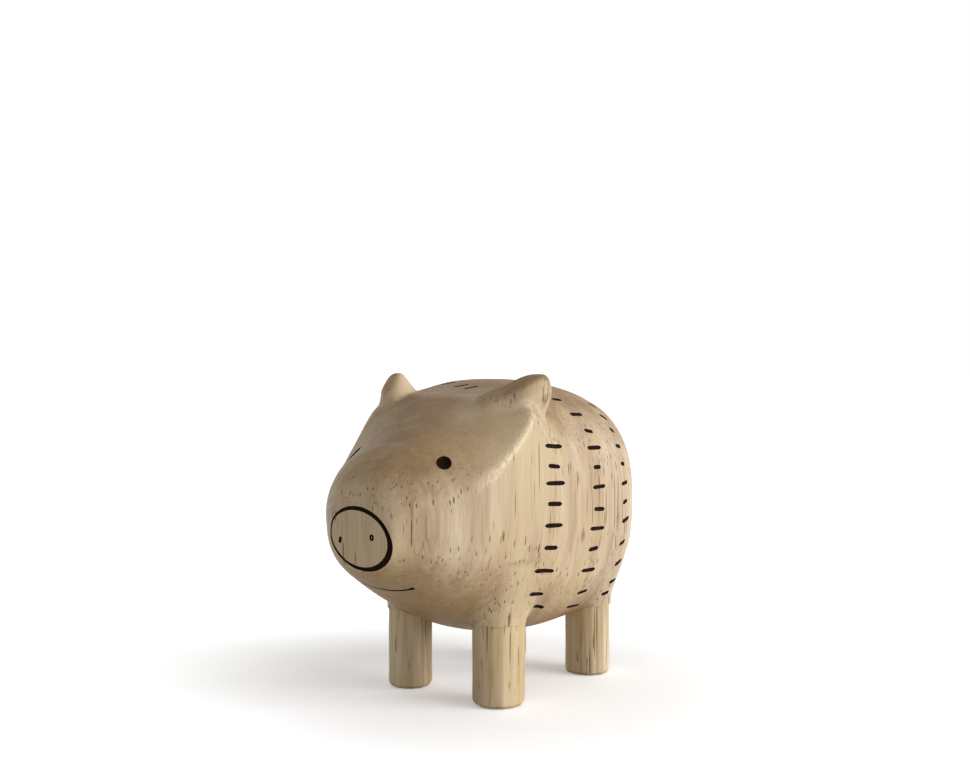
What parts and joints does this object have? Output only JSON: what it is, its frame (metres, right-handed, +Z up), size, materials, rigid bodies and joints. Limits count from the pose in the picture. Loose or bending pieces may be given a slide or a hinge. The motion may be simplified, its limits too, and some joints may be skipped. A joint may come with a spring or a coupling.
{
  "type": "pig figurine",
  "caption": "Small hand-carved wooden pig with a sliced forehead, blunt ears, a flat burnt snout and round dowel legs glued into its belly.",
  "frame": {"origin": "on the floor, under the middle of the whole figure's length and width", "axes": "+Z up, -Y the way the snout points, +X the pig's own left side"},
  "size_m": [0.0439, 0.0816, 0.065],
  "materials": {
    "carved_block": "pale open-grained hardwood, sanded and waxed, satin",
    "leg_dowel": "pale hardwood dowel, whittled, satin",
    "tail_peg": "pale hardwood peg, satin"
  },
  "bodies": {
    "root": {"body": "carved_block", "leg_front_left": "leg_dowel", "leg_front_right": "leg_dowel", "leg_hind_left": "leg_dowel", "leg_hind_right": "leg_dowel", "tail": "tail_peg"}
  },
  "joints": []
}
